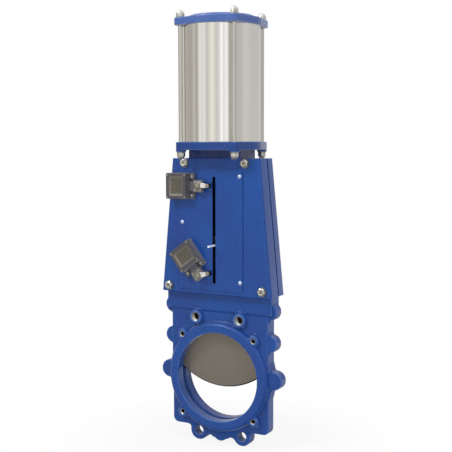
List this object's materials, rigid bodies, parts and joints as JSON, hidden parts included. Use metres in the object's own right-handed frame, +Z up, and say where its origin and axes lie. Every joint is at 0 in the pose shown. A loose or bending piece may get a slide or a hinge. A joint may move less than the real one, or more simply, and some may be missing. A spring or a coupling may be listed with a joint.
{
  "type": "slide gate valve",
  "caption": "Wafer slide gate valve with an air cylinder on a yoke of two folded plates, roller switches and a part-open gate.",
  "frame": {"origin": "centre of the flow bore, midway between the gasket faces", "axes": "+X to the right seen from the switch side, +Y along the pipe away from the switch side, +Z up along the gate travel"},
  "size_m": [0.314, 0.1853, 0.9893],
  "materials": {
    "blue_paint": "gloss blue paint over cast and folded steel",
    "gate_steel": "ground stainless plate, grain upright",
    "stainless": "plain stainless fasteners and rods",
    "barrel_alloy": "satin drawn tube",
    "piston_alloy": "turned",
    "zinc": "bright zinc plate",
    "seal_rubber": "matt black",
    "bush_bronze": "turned bronze",
    "guide_plastic": "off-white slide plastic",
    "packing_yarn": "braided yarn",
    "switch_housing": "grey-brown die-cast housing",
    "switch_lever": "stamped lever"
  },
  "bodies": {
    "valve_frame": {"valve_body": "blue_paint", "seat_seal": "seal_rubber", "seat_retainer": "blue_paint", "gate_guides": "guide_plastic", "packing": "packing_yarn", "packing_gland": "blue_paint", "gland_screws": "stainless", "front_support_plate": "blue_paint", "rear_support_plate": "blue_paint", "support_plate_bolts": "stainless", "support_plate_washers": "stainless", "front_guard": "blue_paint", "guard_screws": "zinc", "cross_block": "blue_paint", "cylinder_screws": "stainless", "lower_head": "blue_paint", "rod_bush": "bush_bronze", "rod_seal": "seal_rubber", "rod_wiper": "seal_rubber", "barrel": "barrel_alloy", "barrel_seals": "seal_rubber", "upper_head": "blue_paint", "tie_rods": "stainless", "tie_rod_washers": "stainless", "top_cap_nuts": "stainless", "bottom_cap_nuts": "stainless", "upper_switch_bracket": "switch_housing", "upper_switch_body": "switch_housing", "upper_switch_cover": "switch_housing", "upper_switch_cover_screws": "stainless", "upper_switch_mount_screws": "zinc", "upper_switch_head": "switch_housing", "lower_switch_bracket": "switch_housing", "lower_switch_body": "switch_housing", "lower_switch_cover": "switch_housing", "lower_switch_cover_screws": "stainless", "lower_switch_mount_screws": "zinc", "lower_switch_head": "switch_housing"},
    "gate_train": {"gate": "gate_steel", "clevis": "stainless", "clevis_bolts": "stainless", "clevis_nuts": "stainless", "rod_lock_nut": "stainless", "piston_rod": "stainless", "piston": "piston_alloy", "piston_seals": "seal_rubber", "piston_band": "guide_plastic", "piston_nut": "stainless", "trip_pin": "zinc", "trip_pin_nut": "stainless"},
    "upper_lever_arm": {"upper_lever": "switch_lever", "upper_lever_shaft": "switch_lever", "upper_roller_pin": "switch_lever"},
    "upper_roller_wheel": {"upper_roller": "switch_lever"},
    "lower_lever_arm": {"lower_lever": "switch_lever", "lower_lever_shaft": "switch_lever", "lower_roller_pin": "switch_lever"},
    "lower_roller_wheel": {"lower_roller": "switch_lever"}
  },
  "joints": [
    {"name": "gate_slide", "type": "slide", "parent": "valve_frame", "child": "gate_train", "axis": [0, 0, 1], "range_m": [-0.0794, 0.1306]},
    {"name": "upper_lever_swing", "type": "hinge", "parent": "valve_frame", "child": "upper_lever_arm", "pos_m": [-0.03196, -0.0545, 0.44265], "axis": [0, -1, 0], "range_deg": [0, 45], "stiffness_Nm_per_rad": 0.02, "springref_deg": -34.38},
    {"name": "upper_roller_spin", "type": "hinge", "parent": "upper_lever_arm", "child": "upper_roller_wheel", "pos_m": [-0.00855, -0.0492, 0.4406], "axis": [0, 1, 0], "continuous": true},
    {"name": "lower_lever_swing", "type": "hinge", "parent": "valve_frame", "child": "lower_lever_arm", "pos_m": [-0.03154, -0.0545, 0.23801], "axis": [0, 1, 0], "range_deg": [0, 45], "stiffness_Nm_per_rad": 0.02, "springref_deg": -34.38},
    {"name": "lower_roller_spin", "type": "hinge", "parent": "lower_lever_arm", "child": "lower_roller_wheel", "pos_m": [-0.00855, -0.0492, 0.2429], "axis": [0, 1, 0], "continuous": true}
  ]
}
